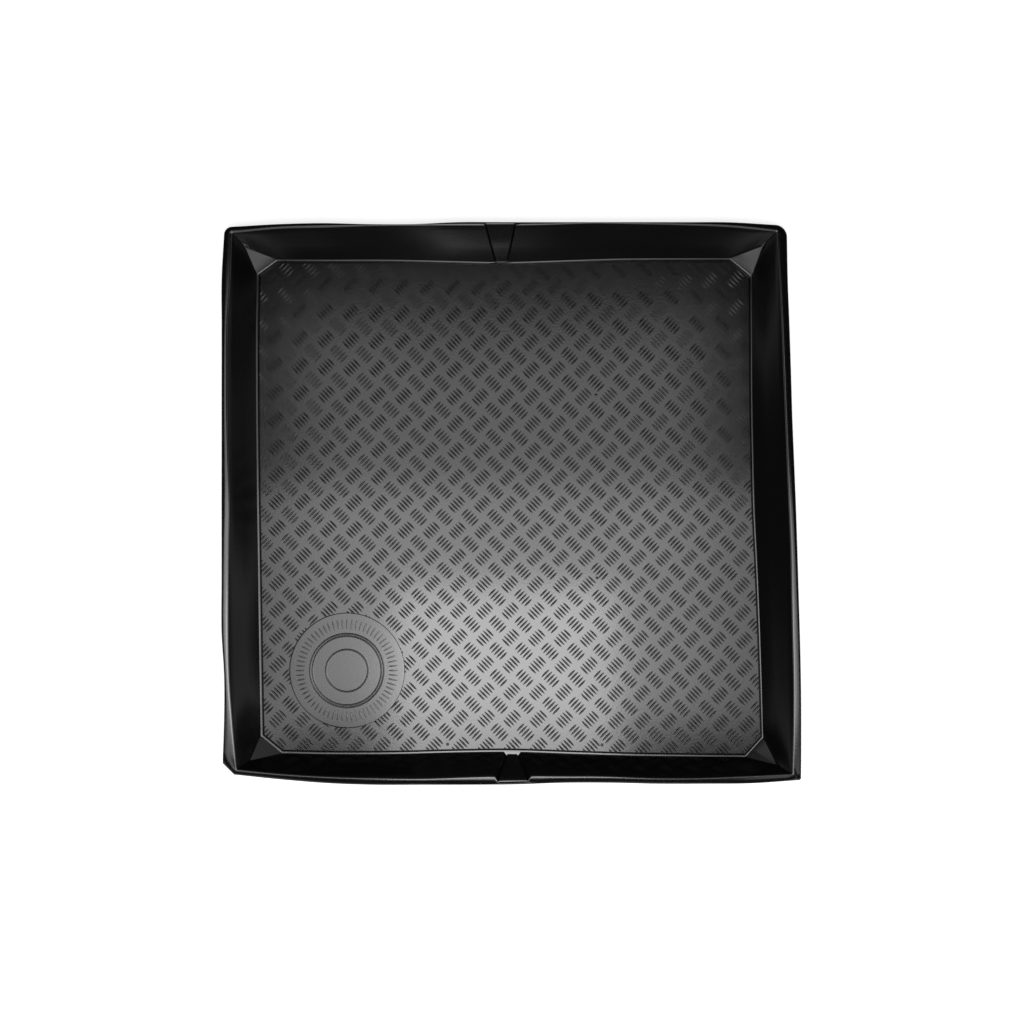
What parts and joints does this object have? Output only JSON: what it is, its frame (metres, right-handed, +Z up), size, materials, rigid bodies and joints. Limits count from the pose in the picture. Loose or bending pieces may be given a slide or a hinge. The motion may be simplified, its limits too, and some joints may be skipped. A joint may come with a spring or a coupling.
{
  "type": "rubber cargo tray",
  "caption": "Shallow boot tray drawn from one sheet: basket-weave tread with a plain round boss, sloping walls with folding wedges, faceted corners and a narrow trimmed flange.",
  "frame": {"origin": "centre of the bounding box in plan, on the flat underside that the tray lies on", "axes": "+Z up, +Y towards the back seats, -Y towards the tailgate, +X to the right seen from above with the seats at the top"},
  "size_m": [1.078, 1.047, 0.058],
  "materials": {
    "black_rubber": "satin with a fine moulded grain"
  },
  "bodies": {
    "root": {"tray": "black_rubber"}
  },
  "joints": []
}
